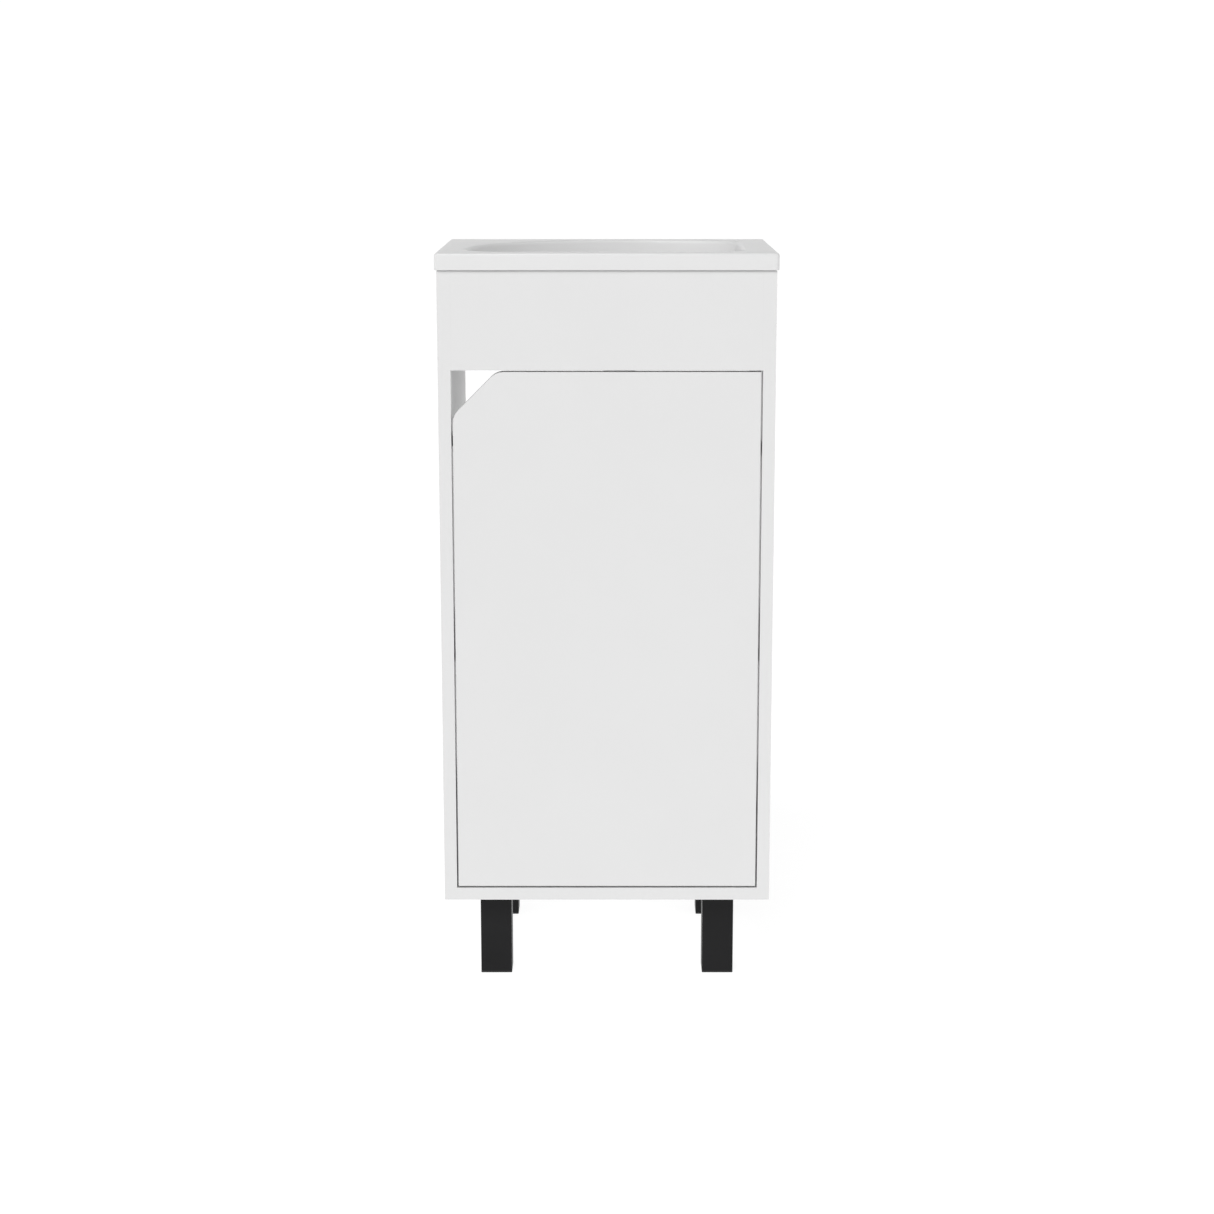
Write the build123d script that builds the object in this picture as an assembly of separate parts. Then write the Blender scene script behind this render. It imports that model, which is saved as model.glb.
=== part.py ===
"""Bathroom vanity: a one-door cabinet on four square legs under a moulded washbasin.

Millimetres. +Z is up and the door faces -Y. The origin is on the floor, under the middle of the basin.
"""
from build123d import *
import os

# ---- Driving dimensions ------------------------------------------------------------------------

total_height = 882
basin_width, basin_depth, basin_apron = 400, 300, 20
side_overhang, front_overhang = 2.5, 3      # how far the basin's apron stands out past the cabinet
seal_height = 1.2                           # the sealing bead under the basin
board = 15                                  # thickness of every board
leg_height, leg_width, leg_wall = 100, 38, 2
leg_inset_side, leg_inset_front = 42.4, 18  # from the cabinet's faces to the legs' faces
fascia_bottom = 746
door_gap, door_gap_below = 1.8, 2
door_round = 1                              # rounding of the door's edge banding
notch_leg, notch_round = 51.5, 22           # the door's cut corner and the rounding of its two ends
rail_back_bottom, rail_back_top = 740, 840
rail_low_height = 80
shelf_bottom, shelf_front_gap, shelf_side_gap = 392, 27, 1
pin_row_front, pin_row_back, pin_pitch = -85, 95, 32
hinge_heights = (212, 650)
hinge_axis_in, hinge_axis_back = 15, 6.5    # from the side panel's inner face, from the door's front face
cup_radius, cup_depth, cup_wall, cup_edge = 17.5, 12, 0.8, 4
cup_flange = 1.2
plate_setback, plate_screw_pitch = 37, 32   # plate screws: behind the door's inner face, apart
catch_height, catch_bottom, catch_length, catch_width = 12, 655, 38, 14
strike_thickness = 0.8
wall_hole_radius, wall_hole_spread, wall_hole_height = 3, 240, 790
waste_x, waste_y = 15, 0
waste_radius, waste_bore = 20.9, 15.5
fit = 0.05                                  # radial clearance of a running or push fit

# ---- Places that follow from them ---------------------------------------------------------------

cabinet_right = basin_width / 2 - side_overhang
inner_right = cabinet_right - board
front = -basin_depth / 2 + front_overhang
back = basin_depth / 2
apron_bottom = total_height - basin_apron
board_top = apron_bottom - seal_height
floor_top = leg_height + board
door_inner = front + board
door_bottom, door_top = floor_top + door_gap_below, fascia_bottom - door_gap
door_right = inner_right - door_gap
axis_x, axis_y = inner_right - hinge_axis_in, front + hinge_axis_back
cup_x = door_right - cup_edge - cup_radius
plate_y = door_inner + plate_setback
catch_middle = catch_bottom + catch_height / 2
catch_front = door_inner + strike_thickness + 0.2
leg_centre_x = cabinet_right - leg_inset_side - leg_width / 2
leg_centre_ys = (front + leg_inset_front + leg_width / 2, back - leg_inset_front - leg_width / 2)

pieces = {}     # node name: list of its solids
cuts = {}       # board name: list of the solids drilled or cut out of it


def put(node, *solids):
    """Add solids to a node."""
    pieces.setdefault(node, []).extend(solids)


def drill(node, *solids):
    """Note solids that are cut out of a board once all its fittings are known."""
    cuts.setdefault(node, []).extend(solids)


def block(x, y, z):
    """A box between its lowest and highest place along each axis."""
    lowest = Align.MIN, Align.MIN, Align.MIN
    return Pos(x[0], y[0], z[0]) * Box(x[1] - x[0], y[1] - y[0], z[1] - z[0], align=lowest)


def rod(start, direction, length, radius):
    """A cylinder that leaves start along direction."""
    return Plane(origin=start, z_dir=direction) * Cylinder(
        radius, length, align=(Align.CENTER, Align.CENTER, Align.MIN))


def tube(start, direction, length, radius, bore):
    """A cylinder with a hole through it."""
    return rod(start, direction, length, radius) - rod(start, direction, length, bore)


def screw(start, direction, length, radius, head_radius, head_height):
    """A flat-headed screw: start is the outside of its head, direction is the way it is driven in."""
    head = rod(start, direction, head_height, head_radius)
    recess = rod(start, direction, head_height / 2, head_radius * 0.4)
    return head - recess + rod(start + direction * head_height, direction, length - head_height, radius)


# ---- The carcass ----------------------------------------------------------------------------------

def side_panels():
    """Two uprights, which the other boards stand between."""
    put("side_panel_right", block((inner_right, cabinet_right), (front, back), (leg_height, board_top)))
    put("side_panel_left", block((-cabinet_right, -inner_right), (front, back), (leg_height, board_top)))


def boards_between():
    """Bottom, fascia and the two rails of the open back."""
    across = (-inner_right, inner_right)
    put("bottom_panel", block(across, (front, back), (leg_height, floor_top)))
    put("front_fascia", block(across, (front, door_inner), (fascia_bottom, board_top)))
    put("rear_rail_upper", block(across, (back - board, back), (rail_back_bottom, rail_back_top)))
    put("rear_rail_lower", block(across, (back - board, back), (floor_top, floor_top + rail_low_height)))
    for side in (-1, 1):
        hole = rod(Vector(side * wall_hole_spread / 2, back - board, wall_hole_height), Vector(0, 1, 0),
                   board, wall_hole_radius)
        drill("rear_rail_upper", hole)


def dowel(board_name, side, y, z):
    """A wooden dowel from a side panel into the end of a board."""
    radius, in_side, in_board = 4, 10, 20
    panel = "side_panel_right" if side > 0 else "side_panel_left"
    start = Vector(side * (inner_right - in_board), y, z)
    hole = rod(start, Vector(side, 0, 0), in_board + in_side, radius)
    drill(panel, hole)
    drill(board_name, hole)
    put("dowels", rod(start, Vector(side, 0, 0), in_board + in_side - 0.5, radius - fit))


def cam_joint(board_name, side, y, z, into):
    """A cam bolt in a side panel and the cam disc that pulls a board's end against it.

    y and z are the bolt's, at the board's mid-thickness, and into is the way the disc goes in.
    """
    reach, bolt_radius, hole_radius, in_side = 24, 3, 4, 11
    disc_radius, disc_depth = 7.5, 12
    panel = "side_panel_right" if side > 0 else "side_panel_left"
    out = Vector(side, 0, 0)
    centre = Vector(side * (inner_right - reach), y, z)
    drill(board_name, rod(centre, out, reach, hole_radius))
    drill(panel, rod(centre + out * reach, out, in_side, bolt_radius))
    put("cam_bolts", rod(centre + out * 1.5, out, reach - 1.5 + in_side - 0.5, bolt_radius - fit))
    mouth = centre - into * (board / 2)
    drill(board_name, rod(mouth, into, disc_depth + 0.5, disc_radius))
    disc = rod(mouth, into, disc_depth, disc_radius - fit)
    slot = rod(centre - out * 3, out, disc_radius + 3, bolt_radius + 0.6)
    cross = block((-4, 4), (-0.8, 0.8), (-1, 1.5)) + block((-0.8, 0.8), (-4, 4), (-1, 1.5))
    put("cam_discs", disc - slot - Plane(origin=mouth, z_dir=into) * cross)


def carcass_joints():
    """Dowels and cams at both ends of every board."""
    mid_floor = leg_height + board / 2
    mid_fascia = front + board / 2
    mid_rail = back - board / 2
    for side in (-1, 1):
        for y in (-120, 0, 120):
            dowel("bottom_panel", side, y, mid_floor)
        for y in (-65, 65):
            cam_joint("bottom_panel", side, y, mid_floor, Vector(0, 0, 1))
        uprights = (
            ("front_fascia", mid_fascia, fascia_bottom, board_top, Vector(0, -1, 0)),
            ("rear_rail_upper", mid_rail, rail_back_bottom, rail_back_top, Vector(0, 1, 0)),
            ("rear_rail_lower", mid_rail, floor_top, floor_top + rail_low_height, Vector(0, 1, 0)))
        for name, y, low, high, into in uprights:
            dowel(name, side, y, low + 18)
            dowel(name, side, y, high - 18)
            cam_joint(name, side, y, (low + high) / 2, into)


def shelf():
    """A loose shelf on four pins, and the rows of holes the pins can move to."""
    radius, in_panel, out_of_panel, back_gap = 2.5, 8, 7, 5
    put("shelf", block((-inner_right + shelf_side_gap, inner_right - shelf_side_gap),
                       (front + shelf_front_gap, back - board - back_gap), (shelf_bottom, shelf_bottom + board)))
    for side, panel in ((-1, "side_panel_left"), (1, "side_panel_right")):
        inward = Vector(-side, 0, 0)
        for y in (pin_row_front, pin_row_back):
            for step in range(-2, 3):
                z = shelf_bottom - radius + step * pin_pitch
                drill(panel, rod(Vector(side * inner_right, y, z), -inward, in_panel + 1, radius))
            start = Vector(side * (inner_right + in_panel), y, shelf_bottom - radius)
            collar = rod(Vector(side * inner_right, y, shelf_bottom - 2 * radius), inward, 0.9, 4)
            put("shelf_pins", rod(start, inward, in_panel + out_of_panel, radius - fit) + collar)


# ---- The legs -------------------------------------------------------------------------------------

def leg(name, x, y):
    """A square steel tube with a welded top plate, its end cap, and the bolt and insert that hold it."""
    cap, plug, plug_wall, plug_gap, plate, corner_round = 2, 12, 2, 0.1, 4, 1.5
    bolt_radius, shank, head, head_radius, socket = 4, 12, 5, 6.5, 3
    insert_radius, insert_length = 5.5, 13
    up, under_plate, top = Vector(0, 0, 1), Vector(x, y, leg_height - plate), Vector(x, y, leg_height)

    def square(half, low, high):
        return block((x - half, x + half), (y - half, y + half), (low, high))

    inside = leg_width / 2 - leg_wall
    body = square(leg_width / 2, cap, leg_height)
    body = fillet(body.edges().filter_by(Axis.Z), corner_round)
    body -= square(inside, cap, leg_height - plate)
    put(name, body - rod(under_plate, up, plate, bolt_radius + 0.25))

    foot = square(leg_width / 2, 0, cap)
    foot = fillet(foot.edges().filter_by(Axis.Z), corner_round)
    foot += square(inside - plug_gap, cap, cap + plug)
    put("leg_caps", foot - square(inside - plug_gap - plug_wall, cap, cap + plug))

    bolt = rod(under_plate - up * head, up, head, head_radius)
    bolt -= rod(under_plate - up * head, up, socket, socket)
    put("leg_bolts", bolt + rod(under_plate, up, plate + shank, bolt_radius))
    put("leg_inserts", tube(top, up, insert_length, insert_radius - fit, bolt_radius + fit))
    drill("bottom_panel", rod(top, up, insert_length, insert_radius))


def legs():
    for end, y in zip(("front", "rear"), leg_centre_ys):
        for side, x in (("left", -leg_centre_x), ("right", leg_centre_x)):
            leg(f"leg_{end}_{side}", x, y)


# ---- The door and its hinges ----------------------------------------------------------------------

def door():
    """An inset door whose top corner on the opening side is cut off as a finger grip."""
    left = -door_right
    outline = Polyline(
        (left, door_bottom), (door_right, door_bottom), (door_right, door_top),
        (left + notch_leg, door_top), (left, door_top - notch_leg), close=True)
    face = make_face(outline)
    cut_ends = ((left, door_top - notch_leg), (left + notch_leg, door_top))
    corners = [v for v in face.vertices() if any(abs(v.X - x) + abs(v.Y - y) < 0.01 for x, y in cut_ends)]
    face = fillet(corners, notch_round)
    panel = extrude(Plane(origin=(0, door_inner, 0), x_dir=(1, 0, 0), z_dir=(0, -1, 0)) * face, board)
    rims = panel.faces().filter_by(Axis.Y).edges()
    put("door_panel", fillet(rims, door_round))


def hinge(name, z):
    """A one-pin concealed hinge: cup and pin in the door, goose-neck arm and plate on the side panel."""
    up, into_door, outward = Vector(0, 0, 1), Vector(0, -1, 0), Vector(1, 0, 0)

    # The cup, with an eared flange on the door's inner face.
    mouth = Vector(cup_x, door_inner, z)
    ear_x, ear_spread = cup_x - 6, 24
    drill("door_panel", rod(mouth, into_door, cup_depth, cup_radius + fit))
    flange = rod(mouth, -into_door, cup_flange, cup_radius + 1)
    flange += block((ear_x - 6, ear_x + 6), (door_inner, door_inner + cup_flange), (z - ear_spread, z + ear_spread))
    for end in (-1, 1):
        flange += rod(Vector(ear_x, door_inner, z + end * ear_spread), -into_door, cup_flange, 6)
    cup = flange + rod(mouth, into_door, cup_depth, cup_radius)
    cup -= rod(mouth - into_door * cup_flange, into_door, cup_flange + cup_depth - cup_wall, cup_radius - cup_wall)
    pin_radius, pin_half = 1.25, 14.6
    cup -= rod(Vector(axis_x, axis_y, z - 20), up, 40, pin_radius)
    for end in (-1, 1):
        ear = Vector(ear_x, door_inner, z + end * ear_spread)
        cup -= rod(ear, -into_door, cup_flange, 1.75)
        drill("door_panel", rod(ear, into_door, 11, 1.75))
        put("hinge_cup_screws", screw(ear - into_door * (cup_flange + 1.2), into_door, 13, 1.7, 3.5, 1.2))
    put(f"hinge_cup_{name}", cup)
    put(f"hinge_pin_{name}", rod(Vector(axis_x, axis_y, z - pin_half), up, 2 * pin_half, pin_radius))

    # The arm: a knuckle round the pin, a goose neck out of the cup and a strap back to the plate.
    strap, arm_half, knuckle = 1.5, 8, 2.15
    bends = [(-1.4, 0.7), (-12, 3.5), (-15.5, 8), (-13, 13), (0, 19), (10.5, 26), (10.5, 66)]
    path = Polyline(*[(axis_x + x, axis_y + y) for x, y in bends])
    neck = trace(path, strap)
    neck = Pos(0, 0, z - arm_half) * extrude(neck, 2 * arm_half)
    arm = neck + rod(Vector(axis_x, axis_y, z - arm_half), up, 2 * arm_half, knuckle)
    arm -= rod(Vector(axis_x, axis_y, z - arm_half), up, 2 * arm_half, pin_radius + fit)
    arm_inner = axis_x + 10.5 - strap / 2
    arm_back = axis_y + 66
    for end in (-1, 1):
        low, high = sorted((z + end * (arm_half - strap), z + end * arm_half))
        arm += block((arm_inner, inner_right - 2.2), (plate_y - 12, arm_back), (low, high))
    spine_x = arm_inner + strap
    arm_screw_y = plate_y + 12
    arm -= rod(Vector(arm_inner - 1, arm_screw_y, z), outward, strap + 2, 3)
    put(f"hinge_arm_{name}", arm)

    # The mounting plate: two wings with the screws, and a spine that the arm is clamped to.
    plate = block((inner_right - 2, inner_right), (plate_y - 7, plate_y + 7),
                  (z - plate_screw_pitch / 2 - 7, z + plate_screw_pitch / 2 + 7))
    plate += block((inner_right - 2, inner_right), (plate_y - 16, plate_y + 20), (z - 6, z + 6))
    plate += block((spine_x, inner_right - 2), (plate_y - 14, plate_y + 18), (z - 6, z + 6))
    plate -= rod(Vector(spine_x - 1, arm_screw_y, z), outward, 10, 2.5)
    drill("side_panel_right", rod(Vector(inner_right, arm_screw_y, z), outward, 4, 2.5))
    put("hinge_arm_screws", screw(Vector(arm_inner - 1.5, arm_screw_y, z), outward, 7.5, 2.5 - fit, 4.5, 1.5))
    for end in (-1, 1):
        place = Vector(inner_right, plate_y, z + end * plate_screw_pitch / 2)
        plate -= rod(place - outward * 3, outward, 3, 2.5)
        drill("side_panel_right", rod(place, outward, 12, 2.5))
        put("hinge_plate_screws", screw(place - outward * 3.5, outward, 14.5, 2.5 - fit, 3.5, 1.5))
    put(f"hinge_plate_{name}", plate)


def catch():
    """A magnetic catch on the opening side, and the steel strike plate that it holds on the door."""
    inner_left = -inner_right
    tall = (catch_bottom, catch_bottom + catch_height)
    body = block((inner_left, inner_left + catch_width), (catch_front, catch_front + catch_length), tall)
    body = fillet(body.edges().filter_by(Axis.Y).group_by(Axis.X)[-1], 1.5)
    magnet_x = (inner_left + 3, inner_left + 11)
    magnet_z = (catch_bottom + 2.5, catch_bottom + catch_height - 2.5)
    magnet = block(magnet_x, (catch_front, catch_front + 10), magnet_z)
    body -= magnet
    put("catch_magnet", magnet)
    for y in (catch_front + 17, catch_front + 31):
        seat = Vector(inner_left + catch_width, y, catch_middle)
        inward = Vector(-1, 0, 0)
        body -= rod(seat, inward, 4, 3.3) + rod(seat, inward, catch_width, 1.75)
        drill("side_panel_left", rod(Vector(inner_left, y, catch_middle), inward, 10, 1.75))
        put("catch_screws", screw(seat + inward * 2, inward, 21, 1.7, 3.2, 2))
    put("catch_body", body)

    strike = block((inner_left + 3, inner_left + 31), (door_inner, door_inner + strike_thickness), tall)
    strike = fillet(strike.edges().filter_by(Axis.Y), 2)
    place = Vector(inner_left + 25, door_inner, catch_middle)
    strike -= rod(place, Vector(0, 1, 0), strike_thickness, 1.75)
    drill("door_panel", rod(place, Vector(0, -1, 0), 10, 1.75))
    put("strike_plate", strike)
    put("strike_screw", screw(place + Vector(0, strike_thickness + 1.2, 0), Vector(0, -1, 0), 11.5, 1.7, 3, 1.2))


# ---- The basin and its waste ----------------------------------------------------------------------

def bowl_outline():
    """The bowl's rim in plan: straight at the front and right, and one long sweep round the back left."""
    left, right, near, corner = -167, 162, -120, 35
    flank = Line((right, near + corner), (right, 85))
    edges = [flank]
    for place in ((140, 116.4), (4, 129), (-116, 68), (-159, -5), (left, -75), (left + 47, near)):
        edges.append(TangentArc(edges[-1] @ 1, place, tangent=edges[-1] % 1))
    edges.append(Line(edges[-1] @ 1, (right - corner, near)))
    edges.append(TangentArc(edges[-1] @ 1, flank @ 0, tangent=edges[-1] % 1))
    return make_face(edges)


def bowl_solid(grow, top, bottom):
    """A bowl-shaped solid: the rim's outline, grown a little, with leaning walls and a rounded foot."""
    lean, foot_round = 15, 25
    rim = bowl_outline()
    if grow:
        rim = offset(rim, grow)
    solid = extrude(Pos(0, 0, top) * rim, amount=bottom - top, taper=lean)
    return fillet(solid.faces().sort_by(Axis.Z)[0].edges(), foot_round)


def basin():
    """A cast slab with a straight apron, hollow underneath, and a bowl that hangs inside the cabinet."""
    half_w, half_d = basin_width / 2, basin_depth / 2
    corner_round, top_round, foot_round = 4, 3.5, 1
    bowl_bottom, wall, deck, rim_width, rim_width_back, below_surface = 788, 9, 10, 20, 6, 2
    slab = block((-half_w, half_w), (-half_d, half_d), (apron_bottom, total_height))
    slab = fillet(slab.edges().filter_by(Axis.Z), corner_round)
    slab = fillet(slab.faces().sort_by(Axis.Z)[-1].edges(), top_round)
    slab = fillet(slab.faces().sort_by(Axis.Z)[0].edges(), foot_round)
    slab -= block((-half_w + rim_width, half_w - rim_width), (-half_d + rim_width, half_d - rim_width_back),
                  (apron_bottom, total_height - deck))
    slab += bowl_solid(wall, total_height - below_surface, bowl_bottom - wall)
    slab -= bowl_solid(0, total_height, bowl_bottom)

    # The waste sits in a shallow recess, on a round boss.
    up, boss, boss_radius, recess, recess_radius, hole_radius = Vector(0, 0, 1), 3, 36, 2, 33, 23
    seat, underside = bowl_bottom - recess, bowl_bottom - wall - boss
    slab += rod(Vector(waste_x, waste_y, underside), up, 2 * boss, boss_radius)
    slab -= rod(Vector(waste_x, waste_y, seat), up, recess + 1, recess_radius)
    slab -= rod(Vector(waste_x, waste_y, underside), up, 20, hole_radius)
    put("basin", slab)
    return seat, underside


def waste(seat, underside):
    """A waste with a cross-shaped strainer: flange and threaded tail, flange seal, washer and back nut."""
    up, tail, flange_radius, flange_height = Vector(0, 0, 1), 80, 31.5, 2.5
    seal_thickness, washer, seal_radius = 1, 3, 31
    spoke, hub_radius = 3, 5
    nut_height, nut_radius, grip_radius, grips = 9, 29, 4, 8

    def at(z):
        return Vector(waste_x, waste_y, z)

    flange_seat = seat + seal_thickness
    body = rod(at(flange_seat), up, flange_height, flange_radius)
    body += rod(at(seat - tail), up, tail + seal_thickness, waste_radius)
    body -= rod(at(seat - tail), up, tail + seal_thickness + flange_height, waste_bore)
    for angle in (0, 90):
        bar = Box(2 * waste_bore + 1, spoke, spoke)
        body += Pos(waste_x, waste_y, flange_seat + 1) * Rot(0, 0, angle) * bar
    body += rod(at(flange_seat + 1 - spoke / 2), up, spoke, hub_radius)
    put("waste_body", body)
    put("waste_flange_seal", tube(at(seat), up, seal_thickness, seal_radius, waste_radius + 2.1))
    put("waste_washer", tube(at(underside - washer), up, washer, seal_radius, waste_radius + 0.2))

    nut = tube(at(underside - washer - nut_height), up, nut_height, nut_radius, waste_radius + fit)
    for grip in range(grips):
        scoop = Pos(nut_radius + 1.5, 0, 0) * Cylinder(grip_radius, nut_height)
        nut -= Pos(at(underside - washer - nut_height / 2)) * Rot(0, 0, grip * 360 / grips) * scoop
    put("waste_nut", nut)


def seal():
    """The bead between the basin and the top edges of the sides and the fascia."""
    inset, level = 2, (board_top, apron_bottom)
    outer = cabinet_right - inset
    bead = block((-outer, outer), (front + inset, front + board - inset), level)
    for side in (-1, 1):
        low, high = sorted((side * outer, side * (outer - board + 2 * inset)))
        bead += block((low, high), (front + inset, back - inset), level)
    put("basin_seal", bead)


# ---- Put it together ------------------------------------------------------------------------------

def write(node, solids):
    """Write one node's STEP, after everything noted for it has been cut out."""
    finished = []
    for solid in solids:
        for tool in cuts.get(node, []):
            solid -= tool
        finished.extend(solid.solids())
    shape = finished[0] if len(finished) == 1 else Compound(finished)
    export_step(shape, f"parts/{node}.step")


side_panels()
boards_between()
carcass_joints()
shelf()
legs()
door()
for hinge_name, hinge_z in zip(("lower", "upper"), hinge_heights):
    hinge(hinge_name, hinge_z)
catch()
waste(*basin())
seal()

os.makedirs("parts", exist_ok=True)
for node_name, node_solids in pieces.items():
    write(node_name, node_solids)
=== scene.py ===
"""Bathroom vanity: looks for the one-door cabinet, its square legs and its cast washbasin."""

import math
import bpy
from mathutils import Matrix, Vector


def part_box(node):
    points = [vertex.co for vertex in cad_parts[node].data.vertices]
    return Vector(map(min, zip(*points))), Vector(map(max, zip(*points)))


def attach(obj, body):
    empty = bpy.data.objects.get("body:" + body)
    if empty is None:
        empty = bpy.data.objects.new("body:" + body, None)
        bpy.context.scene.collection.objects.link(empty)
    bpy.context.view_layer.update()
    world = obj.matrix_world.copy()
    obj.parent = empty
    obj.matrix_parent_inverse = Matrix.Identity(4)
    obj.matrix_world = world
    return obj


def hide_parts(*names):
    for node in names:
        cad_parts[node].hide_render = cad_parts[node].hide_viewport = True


bl_info = {
    "name": "Bathroom Vanity Cabinet",
    "version": (1, 0, 0),
    "blender": (4, 5, 0),
    "location": "View3D > Sidebar > Vanity",
    "description": "Finishes a one-door bathroom vanity and builds its cast washbasin and small fittings",
    "category": "Object",
}

import bmesh
import bpy
from bpy.props import FloatProperty, FloatVectorProperty, IntProperty, PointerProperty
from mathutils import Matrix, Vector

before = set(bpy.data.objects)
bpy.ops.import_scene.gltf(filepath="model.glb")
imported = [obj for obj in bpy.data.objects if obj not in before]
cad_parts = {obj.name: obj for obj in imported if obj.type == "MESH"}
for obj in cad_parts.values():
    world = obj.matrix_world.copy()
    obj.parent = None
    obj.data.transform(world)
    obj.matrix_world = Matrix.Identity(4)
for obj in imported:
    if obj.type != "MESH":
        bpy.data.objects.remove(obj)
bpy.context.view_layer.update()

MM = 0.001
TOUCH = 1e-6      # two heights closer than this are the same
CABINET = "cabinet"


# ---- Sizes and colours a user would change ---------------------------------------------------------

def length(name, description, default):
    return FloatProperty(name=name, description=description, default=default, min=0,
                         unit="LENGTH", precision=4)


def colour(name, description, default):
    return FloatVectorProperty(name=name, description=description, default=default, min=0, max=1,
                               subtype="COLOR")


def angle(name, description, degrees):
    return FloatProperty(name=name, description=description, default=math.radians(degrees), min=0,
                         subtype="ANGLE")


def amount(name, description, default, **limits):
    return FloatProperty(name=name, description=description, default=default, **limits)


class VanityBoards(bpy.types.PropertyGroup):
    """Melamine boards and their edge banding."""

    foil: colour("Foil", "Colour of the melamine foil", (0.695, 0.695, 0.695))
    core: colour("Core", "Colour of the raw particle board inside drilled holes", (0.42, 0.30, 0.18))
    band: length("Band", "Thickness of the edge banding", 0.9 * MM)
    sheen: amount("Roughness", "Roughness of the foil", 0.42, min=0, max=1)
    notch: length("Notch", "How far the door's cut corner reaches along its sides", 51.5 * MM)


class VanityBasin(bpy.types.PropertyGroup):
    """The cast washbasin."""

    stone: colour("Stone", "Colour of the cast mineral", (0.71, 0.71, 0.71))
    apron_round: length("Apron rounding", "Rounding of the top edge of the apron", 3.5 * MM)
    corner_round: length("Corner rounding", "Rounding of the apron's upright corners", 5 * MM)
    foot_round: length("Foot rounding", "Rounding of the apron's lower edge", 1 * MM)
    rim_round: length("Rim rounding", "Rounding between the deck and the bowl's wall", 5 * MM)
    depth: length("Bowl depth", "Depth of the bowl below the deck", 94 * MM)
    wall: length("Wall", "Thickness of the bowl's wall", 9 * MM)
    deck: length("Deck", "Thickness of the deck round the bowl", 10 * MM)
    side_rim: length("Side rim", "Width of the apron's wall at the front and the sides", 20 * MM)
    back_rim: length("Back rim", "Width of the apron's wall at the back", 6 * MM)
    steps: IntProperty(name="Steps", description="Points round the bowl's rim", default=168, min=48, max=400)


class VanityFittings(bpy.types.PropertyGroup):
    """Legs, hinges, catch and waste."""

    leg: colour("Leg coat", "Colour of the legs' powder coat", (0.008, 0.008, 0.0085))
    nickel: colour("Nickel", "Colour of the nickel-plated hinge parts", (0.62, 0.61, 0.58))
    zinc: colour("Zinc", "Colour of the zinc-plated screws", (0.60, 0.62, 0.64))


class VanityStage(bpy.types.PropertyGroup):
    """Floor, lights and camera."""

    floor: colour("Floor", "Colour of the floor", (0.22, 0.22, 0.22))
    floor_radius: length("Floor radius", "Radius of the round floor", 9)
    floor_middle: length("Floor middle", "Radius of the floor's middle face", 2)
    glow: amount("Floor glow", "Light given off by the floor", 0.90, min=0)
    horizon: amount("Horizon", "Brightness all round at eye level", 1.02, min=0)
    sky_front: amount("Front sky", "Brightness above the front horizon", 0.34, min=0)
    sky_back: amount("Back sky", "Brightness above the back horizon", 0.26, min=0)
    key: amount("Key", "Strength of the key light", 1.6, min=0)
    key_width: angle("Key width", "How wide the key light looks from the cabinet", 28)
    key_height: angle("Key height", "How high above the floor the key light stands", 52)
    key_aside: amount("Key aside", "How far the key light slants to the right", 0.25)
    box: amount("Overhead box", "Power of the soft box overhead", 2.2, min=0, unit="POWER")
    box_width: length("Box width", "Side of the overhead box", 450 * MM)
    box_height: length("Box height", "Height of the overhead box above the floor", 2400 * MM)
    lens: amount("Lens", "Focal length", 72.6, min=1, unit="CAMERA")
    tilt: angle("Tilt", "How far the camera looks down", 11.62)
    eye: FloatVectorProperty(name="Eye", description="Place of the camera", default=(0.0035, -3.0, 1.051),
                             subtype="TRANSLATION", unit="LENGTH")
    shift: amount("Shift", "Sideways shift of the view", -0.0023, precision=4)


# ---- Shader maths ----------------------------------------------------------------------------------

class Wire:
    """A shader socket that ordinary arithmetic can be done on."""

    def __init__(self, shader, socket):
        self.shader = shader
        self.socket = socket

    def maths(self, operation, first, second=0.0, clamp=False):
        return self.shader.node("Math", {"operation": operation, "use_clamp": clamp}, {0: first, 1: second})

    def __add__(self, other):
        return self.maths("ADD", self, other)

    def __sub__(self, other):
        return self.maths("SUBTRACT", self, other)

    def __mul__(self, other):
        return self.maths("MULTIPLY", self, other)

    def __rsub__(self, other):
        return self.maths("SUBTRACT", other, self)

    __radd__ = __add__
    __rmul__ = __mul__

    def __abs__(self):
        return self.maths("ABSOLUTE", self)

    def at_most(self, other):
        return self.maths("MINIMUM", self, other)

    def below(self, edge, soft):
        """1 where the value is below edge, 0 above it, with a soft step between."""
        return self.maths("MULTIPLY", edge - self, 1 / soft, clamp=True)


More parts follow.
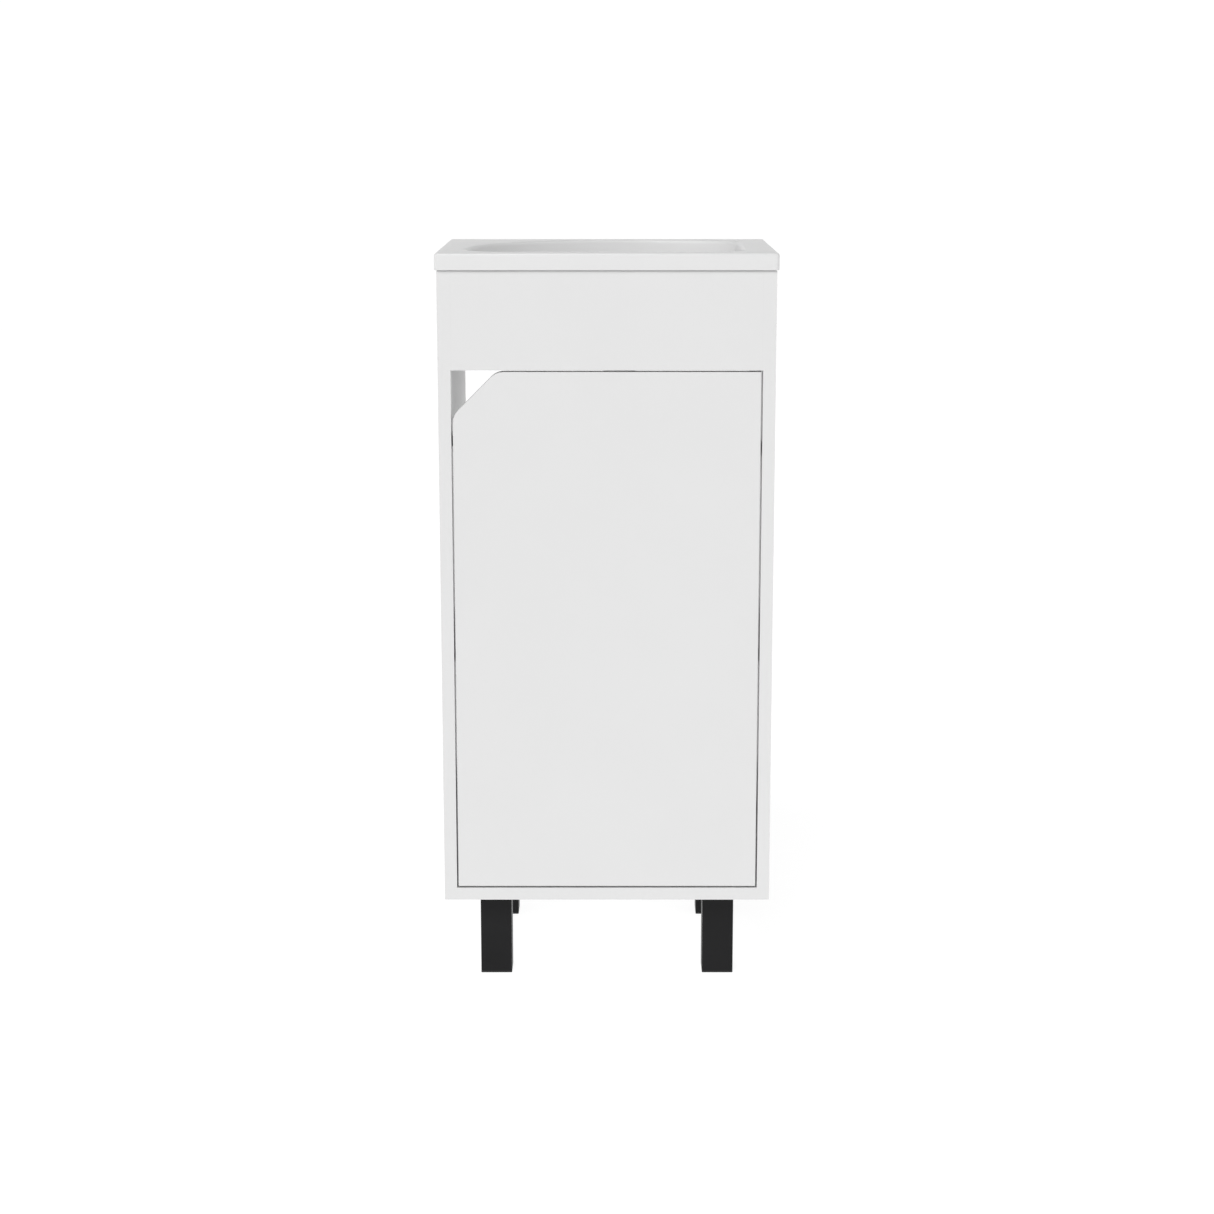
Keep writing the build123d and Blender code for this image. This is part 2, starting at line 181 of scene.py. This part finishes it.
class Shader:
    """The nodes of a material or a world in the making."""

    def __init__(self, owner, surface="Principled BSDF"):
        owner.use_nodes = True
        self.tree = owner.node_tree
        self.surface = self.tree.nodes[surface]

    @classmethod
    def material(cls, name):
        """A new material and its shader."""
        made = bpy.data.materials.new(name)
        return made, cls(made)

    def node(self, kind, settings, sockets, output=0):
        """Adds a node: its settings first, then the values or links of its sockets."""
        made = self.tree.nodes.new("ShaderNode" + kind)
        for name, value in settings.items():
            setattr(made, name, value)
        for key, value in sockets.items():
            self.fill(made.inputs[key], value)
        return Wire(self, made.outputs[output])

    def fill(self, socket, value):
        if isinstance(value, Wire):
            self.tree.links.new(value.socket, socket)
        elif socket.type == "RGBA":
            socket.default_value = (*tuple(value)[:3], 1)
        else:
            socket.default_value = value

    def set(self, **values):
        """Fills sockets of the surface shader, such as Base_Color."""
        for name, value in values.items():
            self.fill(self.surface.inputs[name.replace("_", " ")], value)

    def place(self, source="Object"):
        return self.node("TexCoord", {}, {}, source)

    def axes(self, source="Object"):
        """X, Y and Z of the place, in metres, or of the direction in a world."""
        split = self.node("SeparateXYZ", {}, {0: self.place(source)})
        return [Wire(self, output) for output in split.socket.node.outputs]

    def noise(self, scale, detail=2.0, stretch=(1, 1, 1), rough=0.5):
        moved = self.node("Mapping", {}, {"Vector": self.place(), "Scale": stretch})
        return self.node("TexNoise", {}, {"Vector": moved, "Scale": scale, "Detail": detail,
                                          "Roughness": rough})

    def mix(self, factor, first, second):
        return self.node("Mix", {"data_type": "RGBA"}, {0: factor, 6: first, 7: second}, 2)

    def bump(self, height, distance, strength=1.0):
        self.set(Normal=self.node("Bump", {}, {"Strength": strength, "Distance": distance, "Height": height}))


def shade(tone, factor):
    return tuple(min(1.0, part * factor) for part in tuple(tone)[:3])


# ---- Finishes --------------------------------------------------------------------------------------

def board_finish(node, settings, core_margin=0.3 * MM):
    """Melamine foil on particle board: a hairline where the edge band starts, raw core in the holes."""
    low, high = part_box(node)
    size = high - low
    thin = min(range(3), key=lambda axis: size[axis])
    material, shader = Shader.material(f"melamine_{node}")
    axes = shader.axes()
    inside = [(axes[a] - low[a]).at_most(high[a] - axes[a]) for a in range(3)]
    across, along = [inside[a] for a in range(3) if a != thin]
    rim = across.at_most(along)
    if node == "door_panel":
        slant = (axes[0] - low[0] + (high[2] - axes[2]) - settings.notch) * math.sqrt(0.5)
        rim = rim.at_most(slant)
    hairline = abs(rim - settings.band).below(edge=0.12 * MM, soft=0.1 * MM)
    foil_depth, soft = 0.3 * MM, 0.05 * MM
    core = (1 - rim.below(core_margin, soft)) * (1 - inside[thin].below(foil_depth, soft))
    cloud = shader.noise(9, 3)
    peel = shader.noise(1500, 2)
    foil = shader.mix(cloud, shade(settings.foil, 0.985), shade(settings.foil, 1.015))
    foil = shader.mix(hairline * 0.22, foil, shade(settings.foil, 0.6))
    chips = shader.noise(420, 4, rough=0.7)
    raw = shader.mix(chips, shade(settings.core, 0.55), shade(settings.core, 1.5))
    shader.set(
        Base_Color=shader.mix(core, foil, raw),
        Roughness=settings.sheen + (peel - 0.5) * 0.12 + (cloud - 0.5) * 0.06 + core * 0.4,
        Specular_IOR_Level=0.35)
    shader.bump(peel * (1 - core) + chips * core * 6 - hairline * 1.5, 0.03 * MM, 0.6)
    return material


def stone_finish(settings):
    """Cast mineral with a satin gel coat."""
    material, shader = Shader.material("cast_stone")
    cloud, peel, speck = shader.noise(12, 3), shader.noise(260, 2), shader.noise(2600, 1)
    shader.set(
        Base_Color=shader.mix(cloud, shade(settings.stone, 0.985), shade(settings.stone, 1.01)),
        Roughness=0.38 + (peel - 0.5) * 0.08 + (speck - 0.5) * 0.05,
        Specular_IOR_Level=0.3,
        Coat_Weight=0.15 + (cloud - 0.5) * 0.1,
        Coat_Roughness=0.2)
    shader.bump(peel + speck * 0.3, 0.02 * MM, 0.5)
    return material


def powder_finish(tone):
    """Black powder coat with a fine orange peel."""
    material, shader = Shader.material("powder_coat")
    peel, dust = shader.noise(900, 2), shader.noise(25, 4)
    shader.set(
        Base_Color=shader.mix(dust, shade(tone, 0.8), shade(tone, 1.4)),
        Roughness=0.42 + (peel - 0.5) * 0.15 + (dust - 0.5) * 0.08,
        Specular_IOR_Level=0.16)
    shader.bump(peel, 0.08 * MM, 0.5)
    return material


def metal_finish(name, tone, rough, stretch=(1, 1, 1), grain=700, scuff=0.15):
    """Plated or polished metal: fine grain, cloudy plating and faint scuffs."""
    material, shader = Shader.material(name)
    fine, cloud = shader.noise(grain, 3, stretch), shader.noise(45, 4)
    shader.set(
        Base_Color=shader.mix(cloud, shade(tone, 0.88), shade(tone, 1.08)),
        Metallic=1.0,
        Roughness=rough + (fine - 0.5) * scuff + (cloud - 0.5) * scuff)
    shader.bump(fine, 0.02 * MM, 0.5)
    return material


def moulded_finish(name, tone, rough, grain=1200, depth=0.03 * MM):
    """Moulded plastic, rubber or silicone with a fine spark-eroded grain."""
    material, shader = Shader.material(name)
    fine, cloud = shader.noise(grain, 2), shader.noise(60, 3)
    shader.set(
        Base_Color=shader.mix(cloud, shade(tone, 0.85), shade(tone, 1.2)),
        Roughness=rough + (fine - 0.5) * 0.18,
        Specular_IOR_Level=0.4)
    shader.bump(fine, depth, 0.5)
    return material


def beech_finish():
    """Fluted beech dowels."""
    material, shader = Shader.material("beech")
    grain = shader.noise(300, 4, (0.05, 1, 1))
    shader.set(
        Base_Color=shader.mix(grain, (0.40, 0.24, 0.12), (0.66, 0.46, 0.27)),
        Roughness=0.55 + grain * 0.2)
    shader.bump(grain, 0.05 * MM)
    return material


# ---- Mesh helpers ----------------------------------------------------------------------------------

def piece(name, mesh, material, body, replaces=(), sharp=math.radians(35)):
    """Turns a bmesh into a finished piece that rides on a body."""
    data = bpy.data.meshes.new(name)
    mesh.to_mesh(data)
    mesh.free()
    for polygon in data.polygons:
        polygon.use_smooth = True
    data.set_sharp_from_angle(angle=sharp)
    data.materials.append(material)
    made = bpy.data.objects.new(name, data)
    bpy.context.scene.collection.objects.link(made)
    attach(made, body)
    if replaces:
        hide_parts(*replaces)
    return made


def finish_nodes(material, *nodes):
    """Gives carried-over pieces their material."""
    for node in nodes:
        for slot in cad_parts[node].material_slots:
            slot.material = material


def round_edges(mesh, edges, radius, segments):
    """Rounds edges of a bmesh."""
    bmesh.ops.bevel(mesh, geom=edges, offset=radius, offset_type="OFFSET", affect="EDGES", segments=segments,
                    profile=0.5, material=-1)


def arc_points(start, heading, end, step):
    """Points on the arc that leaves start along heading and reaches end, and the heading there."""
    chord = end - start
    turn = heading.angle_signed(chord)
    nearly_straight = 1e-4
    if abs(turn) < nearly_straight:
        count = max(1, round(chord.length / step))
        return [start + chord * i / count for i in range(1, count + 1)], heading
    radius = chord.length / (2 * math.sin(abs(turn)))
    side = Vector((heading.y, -heading.x)) if turn > 0 else Vector((-heading.y, heading.x))
    centre = start + side * radius
    sweep = 2 * turn
    count = max(2, round(abs(sweep) * radius / step))
    points = []
    for i in range(1, count + 1):
        spoke = start - centre
        spoke.rotate(Matrix.Rotation(-sweep * i / count, 2))
        points.append(centre + spoke)
    leaving = heading.copy()
    leaving.rotate(Matrix.Rotation(-sweep, 2))
    return points, leaving


# ---- The basin -------------------------------------------------------------------------------------

def bowl_rim(steps):
    """The bowl's outline in plan, evenly stepped, and the inward normal at every point."""
    left, right, near = -0.167, 0.162, -0.120
    left_corner, right_corner = 0.047, 0.035
    start, heading = Vector((right, near + right_corner)), Vector((0, 1))
    stops = [(right, 0.085), (0.140, 0.1164), (0.004, 0.129), (-0.116, 0.068), (-0.159, -0.005),
             (left, -0.075), (left + left_corner, near), (right - right_corner, near),
             (right, near + right_corner)]
    fine = [start]
    for stop in stops:
        points, heading = arc_points(fine[-1], heading, Vector(stop), step=0.5 * MM)
        fine.extend(points)
    lengths = [0.0]
    for a, b in zip(fine, fine[1:]):
        lengths.append(lengths[-1] + (b - a).length)
    even, walk = [], 0
    for i in range(steps):
        wanted = lengths[-1] * i / steps
        while lengths[walk + 1] < wanted:
            walk += 1
        share = (wanted - lengths[walk]) / (lengths[walk + 1] - lengths[walk])
        even.append(fine[walk].lerp(fine[walk + 1], share))
    inward = []
    for i in range(steps):
        along = even[(i + 1) % steps] - even[i - 1]
        inward.append(Vector((-along.y, along.x)).normalized())
    return even, inward


def ring_edges(ring):
    """The edges that join a ring of vertices."""
    return [next(e for e in v.link_edges if e.other_vert(v) == ring[(i + 1) % len(ring)])
            for i, v in enumerate(ring)]


def grow_ring(mesh, ring, places):
    """Extrudes a ring of vertices to new places and returns the new ring."""
    out = bmesh.ops.extrude_edge_only(mesh, edges=ring_edges(ring))
    fresh = {v for v in out["geom"] if isinstance(v, bmesh.types.BMVert)}
    new = []
    for vertex in ring:
        new.append(next(e.other_vert(vertex) for e in vertex.link_edges if e.other_vert(vertex) in fresh))
    for vertex, place in zip(new, places):
        vertex.co = place
    return new


def bowl_sections(settings, deck, rim, inward, drain):
    """Rings of points from the deck down the bowl to the waste recess, then back up outside the wall."""
    lean = math.radians(15)
    rounding, rounding_steps, wall_steps, foot_steps, outer_steps = settings.rim_round, 6, 5, 8, 6
    foot_drop, foot_pinch = 24 * MM, 0.17        # height of the round foot, and how far it narrows the bowl
    fall, flattening = 3 * MM, 1.5               # slope of the bowl's floor, and how late it turns circular
    floor_pinch, under_pinch = 0.5, 0.3
    recess_rim, recess_radius, recess_depth = 36 * MM, 33 * MM, 2 * MM
    bore_radius, boss_radius, boss_height, under_radius = 23 * MM, 36 * MM, 3 * MM, 60 * MM
    straight_end = settings.depth - foot_drop
    inset = (straight_end - rounding) * math.tan(lean)
    floor = deck - settings.depth
    under = floor - settings.wall

    def ring(z, inset=0.0, squeeze=1.0, circle=0.0, radius=0.0):
        """The rim moved inwards, then scaled about the drain, then blended into a circle round it."""
        points = []
        for place, normal in zip(rim, inward):
            spot = drain + (place + normal * inset - drain) * squeeze
            spot = spot.lerp(drain + (place - drain).normalized() * radius, circle)
            points.append(Vector((*spot, z)))
        return points

    sections = []
    for i in range(rounding_steps + 1):
        angle = (math.pi / 2 - lean) * i / rounding_steps
        sections.append(ring(deck - rounding * (1 - math.cos(angle)), rounding * math.sin(angle) - rounding))
    for i in range(1, wall_steps + 1):
        deep = rounding + (straight_end - rounding) * i / wall_steps
        sections.append(ring(deck - deep, (deep - rounding) * math.tan(lean)))
    for i in range(1, foot_steps + 1):
        angle = math.pi / 2 * i / foot_steps
        squeeze = 1 - foot_pinch * (1 - math.cos(angle))
        sections.append(ring(deck - straight_end - (foot_drop - fall) * math.sin(angle), inset, squeeze))
    for share in (0.2, 0.4, 0.6, 0.8, 1):
        squeeze = 1 - foot_pinch - floor_pinch * share
        sections.append(ring(floor + fall * (1 - share), inset, squeeze, share ** flattening, recess_rim))
    for radius, z in ((recess_radius, floor), (recess_radius, floor - recess_depth),
                      (bore_radius, floor - recess_depth), (bore_radius, under - boss_height),
                      (boss_radius, under - boss_height), (boss_radius, under)):
        sections.append(ring(z, circle=1, radius=radius))
    for share in (0.5, 0):
        squeeze = 1 - foot_pinch - under_pinch * share
        sections.append(ring(under, inset, squeeze, share ** flattening, under_radius))
    for i in range(1, outer_steps + 1):
        angle = math.pi / 2 * (1 - i / outer_steps)
        squeeze = 1 - foot_pinch * (1 - math.cos(angle))
        sections.append(ring(deck - straight_end + (under - deck + straight_end) * math.sin(angle),
                             inset - settings.wall * (i / outer_steps), squeeze))
    sections.append(ring(deck - settings.deck, -settings.wall - rounding))
    return sections


def basin_mesh(settings):
    """A slab with a rounded apron, hollow underneath, and the bowl as one closed skin."""
    low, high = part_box("basin")
    apron_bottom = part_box("basin_seal")[1].z
    drain_low, drain_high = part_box("waste_body")
    drain = ((drain_low + drain_high) / 2).to_2d()
    middle, size = (low + high) / 2, high - low
    mesh = bmesh.new()
    height = high.z - apron_bottom
    slab = Matrix.Translation((middle.x, middle.y, apron_bottom + height / 2))
    bmesh.ops.create_cube(mesh, size=1, matrix=slab @ Matrix.Diagonal((size.x, size.y, height, 1)))
    uprights = [e for e in mesh.edges if abs(e.verts[0].co.z - e.verts[1].co.z) > height / 2]
    round_edges(mesh, uprights, settings.corner_round, 6)
    top = [e for e in mesh.edges if all(v.co.z > high.z - TOUCH for v in e.verts)]
    round_edges(mesh, top, settings.apron_round, 6)
    foot = [e for e in mesh.edges if all(v.co.z < apron_bottom + TOUCH for v in e.verts)]
    round_edges(mesh, foot, settings.foot_round, 3)
    for level in (high.z, apron_bottom):
        lid = [f for f in mesh.faces if all(abs(v.co.z - level) < TOUCH for v in f.verts)]
        bmesh.ops.delete(mesh, geom=lid, context="FACES_ONLY")
    deck_border = [e for e in mesh.edges if e.is_boundary and e.verts[0].co.z > high.z - TOUCH]
    foot_border = [e for e in mesh.edges if e.is_boundary and e.verts[0].co.z < apron_bottom + TOUCH]

    rim, inward = bowl_rim(settings.steps)
    sections = bowl_sections(settings, high.z, rim, inward, drain)
    ring = [mesh.verts.new(place) for place in sections[0]]
    first = [mesh.edges.new((ring[i], ring[(i + 1) % len(ring)])) for i in range(len(ring))]
    bmesh.ops.triangle_fill(mesh, use_beauty=True, use_dissolve=False, edges=deck_border + first)
    for places in sections[1:]:
        ring = grow_ring(mesh, ring, places)
    last = ring_edges(ring)

    left, right = low.x + settings.side_rim, high.x - settings.side_rim
    near, far = low.y + settings.side_rim, high.y - settings.back_rim
    corners = [(left, near), (right, near), (right, far), (left, far)]
    pocket = [mesh.verts.new((*corner, high.z - settings.deck)) for corner in corners]
    ceiling = [mesh.edges.new((pocket[i], pocket[(i + 1) % len(pocket)])) for i in range(len(pocket))]
    bmesh.ops.triangle_fill(mesh, use_beauty=True, use_dissolve=False, edges=last + ceiling)
    mouth = grow_ring(mesh, pocket, [Vector((*corner, apron_bottom)) for corner in corners])
    bmesh.ops.triangle_fill(mesh, use_beauty=True, use_dissolve=False, edges=ring_edges(mouth) + foot_border)
    bmesh.ops.recalc_face_normals(mesh, faces=mesh.faces)
    return mesh


# ---- Operators -------------------------------------------------------------------------------------

class VANITY_OT_boards(bpy.types.Operator):
    """Finish the boards, the door and the dowels"""

    bl_idname = "vanity.boards"
    bl_label = "Boards and door"

    def execute(self, context):
        settings = context.scene.vanity_boards
        for node in ("side_panel_left", "side_panel_right", "bottom_panel", "front_fascia", "rear_rail_upper",
                     "rear_rail_lower", "shelf"):
            finish_nodes(board_finish(node, settings), node)
        finish_nodes(board_finish("door_panel", settings, core_margin=2.5 * MM), "door_panel")
        finish_nodes(beech_finish(), "dowels")
        finish_nodes(moulded_finish("seal", (0.55, 0.55, 0.55), 0.5), "basin_seal")
        return {"FINISHED"}


class VANITY_OT_basin(bpy.types.Operator):
    """Build the cast washbasin"""

    bl_idname = "vanity.basin"
    bl_label = "Washbasin"

    def execute(self, context):
        settings = context.scene.vanity_basin
        piece("washbasin", basin_mesh(settings), stone_finish(settings), CABINET, ["basin"])
        return {"FINISHED"}


class VANITY_OT_fittings(bpy.types.Operator):
    """Finish the legs, hinges, catch, screws and waste"""

    bl_idname = "vanity.fittings"
    bl_label = "Legs and fittings"

    def execute(self, context):
        settings = context.scene.vanity_fittings
        finish_nodes(powder_finish(settings.leg), "leg_front_left", "leg_front_right", "leg_rear_left",
                     "leg_rear_right")
        finish_nodes(moulded_finish("black_plastic", (0.012, 0.012, 0.012), 0.5), "leg_caps", "catch_body",
                     "waste_nut")
        nickel = metal_finish("nickel", settings.nickel, 0.32, (1, 1, 0.1))
        finish_nodes(nickel, "shelf_pins", *[f"hinge_{part}_{end}" for part in ("cup", "arm", "plate")
                                            for end in ("lower", "upper")])
        zinc = metal_finish("zinc", settings.zinc, 0.36)
        finish_nodes(zinc, "cam_bolts", "leg_bolts", "hinge_pin_lower", "hinge_pin_upper", "hinge_cup_screws",
                     "hinge_arm_screws", "hinge_plate_screws", "catch_screws", "strike_plate", "strike_screw")
        finish_nodes(metal_finish("zinc_casting", (0.40, 0.41, 0.42), 0.5), "cam_discs")
        finish_nodes(metal_finish("brass", (0.72, 0.52, 0.24), 0.35), "leg_inserts")
        finish_nodes(metal_finish("magnet", (0.2, 0.2, 0.21), 0.5), "catch_magnet")
        finish_nodes(metal_finish("chrome", (0.8, 0.81, 0.82), 0.08, scuff=0.05), "waste_body")
        finish_nodes(moulded_finish("rubber", (0.02, 0.02, 0.02), 0.6), "waste_flange_seal", "waste_washer")
        return {"FINISHED"}


class VANITY_OT_stage(bpy.types.Operator):
    """Build the floor, the lights and the camera"""

    bl_idname = "vanity.stage"
    bl_label = "Stage"

    def execute(self, context):
        settings = context.scene.vanity_stage
        self.floor(settings)
        self.lights(context.scene, settings)
        self.camera(context.scene, settings)
        return {"FINISHED"}

    def floor(self, settings):
        """A wide round floor that gives off some light, so that hardly any shadow shows on it."""
        mesh = bmesh.new()
        bmesh.ops.create_circle(mesh, cap_ends=True, radius=settings.floor_radius, segments=96)
        bmesh.ops.inset_region(mesh, faces=mesh.faces[:],
                               thickness=settings.floor_radius - settings.floor_middle)
        data = bpy.data.meshes.new("floor")
        mesh.to_mesh(data)
        mesh.free()
        material, shader = Shader.material("floor")
        shader.set(
            Base_Color=shader.mix(shader.noise(3, 4), shade(settings.floor, 0.97), settings.floor),
            Roughness=0.9,
            Specular_IOR_Level=0.0,
            Emission_Color=(1, 1, 1),
            Emission_Strength=settings.glow)
        data.materials.append(material)
        made = bpy.data.objects.new("floor", data)
        bpy.context.scene.collection.objects.link(made)

    def lights(self, scene, settings):
        """A sky that dims upwards from a white horizon, a wide key light in front and a soft box overhead."""
        scene.world = bpy.data.worlds.new("sky")
        sky = Shader(scene.world, "Background")
        _, y, z = sky.axes("Generated")
        front, upward = y.below(edge=0.35, soft=1.1), 1 - z.below(edge=0.37, soft=0.12)
        overhead = settings.sky_back + front * (settings.sky_front - settings.sky_back)
        sky.set(Color=(1, 1, 1), Strength=settings.horizon + upward * (overhead - settings.horizon))
        slant = Vector((settings.key_aside, math.cos(settings.key_height), -math.sin(settings.key_height)))
        key = self.lamp(scene, "key", "SUN", settings.key, slant)
        key.data.angle = settings.key_width
        box = self.lamp(scene, "overhead_box", "AREA", settings.box, Vector((0, 0, -1)))
        box.data.shape, box.data.size = "SQUARE", settings.box_width
        box.location.z = settings.box_height
        scene.view_settings.view_transform = "Standard"

    def lamp(self, scene, name, kind, energy, aim):
        """A new light that shines along aim."""
        light = bpy.data.lights.new(name, kind)
        light.energy = energy
        lamp = bpy.data.objects.new(name, light)
        lamp.rotation_euler = aim.to_track_quat("-Z", "Y").to_euler()
        scene.collection.objects.link(lamp)
        return lamp

    def camera(self, scene, settings):
        """A camera standing in front of the door, a little above the basin and tilted down to the middle."""
        camera = bpy.data.cameras.new("camera")
        camera.lens = settings.lens
        camera.sensor_width = 36
        camera.shift_x = settings.shift
        eye = bpy.data.objects.new("camera", camera)
        eye.location = settings.eye
        eye.rotation_euler = (math.pi / 2 - settings.tilt, 0, 0)
        scene.collection.objects.link(eye)
        scene.camera = eye


STEPS = (VANITY_OT_boards, VANITY_OT_basin, VANITY_OT_fittings, VANITY_OT_stage)
SETTINGS = {"vanity_boards": VanityBoards, "vanity_basin": VanityBasin, "vanity_fittings": VanityFittings,
            "vanity_stage": VanityStage}


class VANITY_PT_sidebar(bpy.types.Panel):
    """Lists the steps and their sizes and colours"""

    bl_idname = "VANITY_PT_sidebar"
    bl_label = "Bathroom vanity"
    bl_space_type = "VIEW_3D"
    bl_region_type = "UI"
    bl_category = "Vanity"

    def draw(self, context):
        for step, name in zip(STEPS, SETTINGS):
            box = self.layout.box()
            box.operator(step.bl_idname)
            settings = getattr(context.scene, name)
            for key in settings.__annotations__:
                box.prop(settings, key)


CLASSES = (*SETTINGS.values(), *STEPS, VANITY_PT_sidebar)


def register():
    for each in CLASSES:
        bpy.utils.register_class(each)
    for name, group in SETTINGS.items():
        setattr(bpy.types.Scene, name, PointerProperty(type=group))


def unregister():
    for name in SETTINGS:
        delattr(bpy.types.Scene, name)
    for each in reversed(CLASSES):
        bpy.utils.unregister_class(each)


def main():
    register()
    for step in STEPS:
        getattr(bpy.ops.vanity, step.bl_idname.split(".")[1])()


if __name__ == "__main__":
    main()
